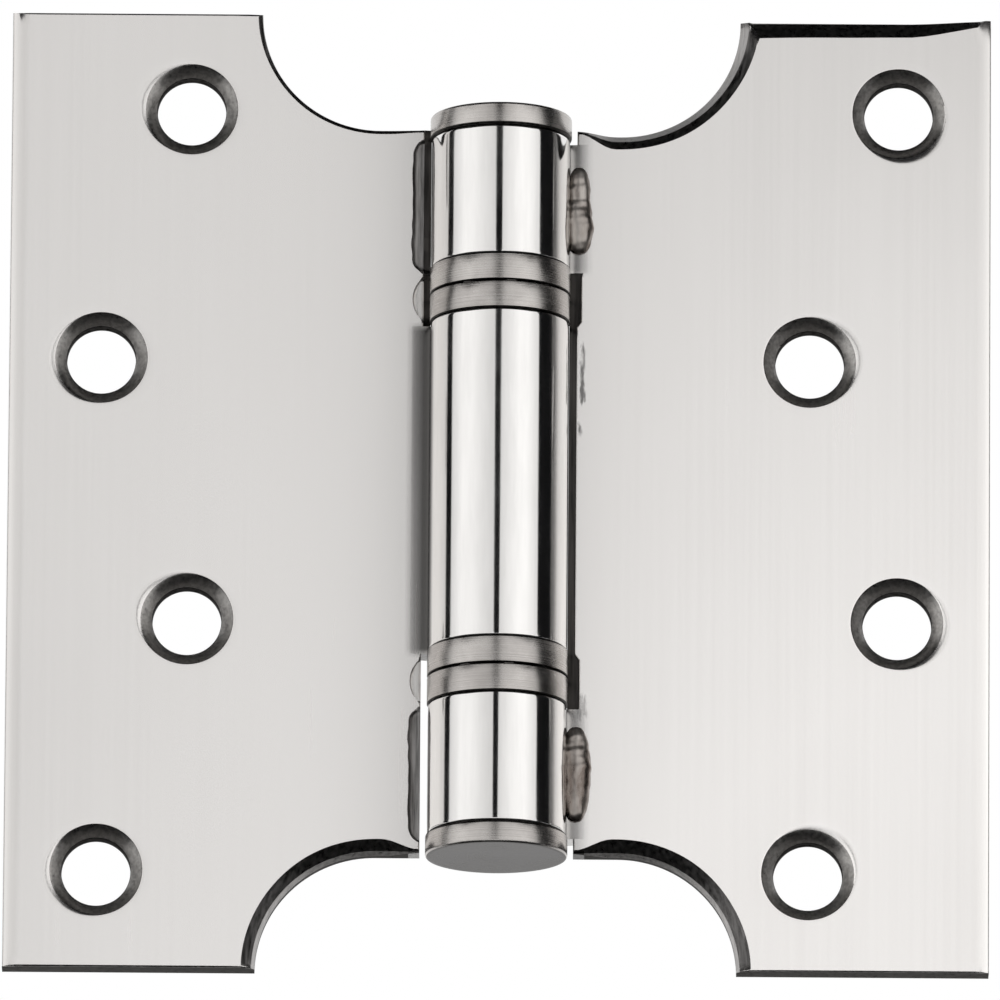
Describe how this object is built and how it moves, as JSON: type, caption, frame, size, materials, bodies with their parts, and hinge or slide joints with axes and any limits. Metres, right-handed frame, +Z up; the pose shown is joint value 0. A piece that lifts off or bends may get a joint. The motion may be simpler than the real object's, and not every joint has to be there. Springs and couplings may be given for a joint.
{
  "type": "parliament hinge",
  "caption": "Parliament hinge with two scalloped flat leaves, staggered countersunk holes, and a rolled-knuckle barrel on ball bearings, that swings a door clear of its frame.",
  "frame": {"origin": "on the pin axis, half way up the leaves", "axes": "+Z up along the pin, +X to the leaf with the end knuckles, the countersunk fronts face -Y"},
  "size_m": [0.102, 0.0148, 0.102],
  "materials": {
    "polished_steel": "polished",
    "turned_steel": "turned satin",
    "weld_steel": "as welded, ground",
    "pin_steel": "ground",
    "ball_steel": "polished"
  },
  "bodies": {
    "left_leaf": {"left_leaf": "polished_steel", "upper_bearing_lower_race": "turned_steel", "lower_bearing_upper_race": "turned_steel"},
    "right_leaf": {"right_leaf": "polished_steel", "top_knuckle_weld": "weld_steel", "bottom_knuckle_weld": "weld_steel", "hinge_pin": "pin_steel", "top_end_cap": "turned_steel", "bottom_end_cap": "turned_steel", "upper_bearing_upper_race": "turned_steel", "lower_bearing_lower_race": "turned_steel"},
    "upper_balls": {"upper_bearing_balls": "ball_steel"},
    "lower_balls": {"lower_bearing_balls": "ball_steel"}
  },
  "joints": [
    {"name": "leaf_fold", "type": "hinge", "parent": "left_leaf", "child": "right_leaf", "pos_m": [0, 0, 0], "axis": [0, 0, -1], "range_deg": [-120, 180]},
    {"name": "upper_balls_roll", "type": "hinge", "parent": "left_leaf", "child": "upper_balls", "pos_m": [0, 0, 0], "axis": [0, 0, -1], "range_deg": [-60, 90]},
    {"name": "lower_balls_roll", "type": "hinge", "parent": "left_leaf", "child": "lower_balls", "pos_m": [0, 0, 0], "axis": [0, 0, -1], "range_deg": [-60, 90]}
  ],
  "couplings": [
    {"joint": "upper_balls_roll", "follows": "leaf_fold", "ratio": 0.5},
    {"joint": "lower_balls_roll", "follows": "leaf_fold", "ratio": 0.5}
  ]
}
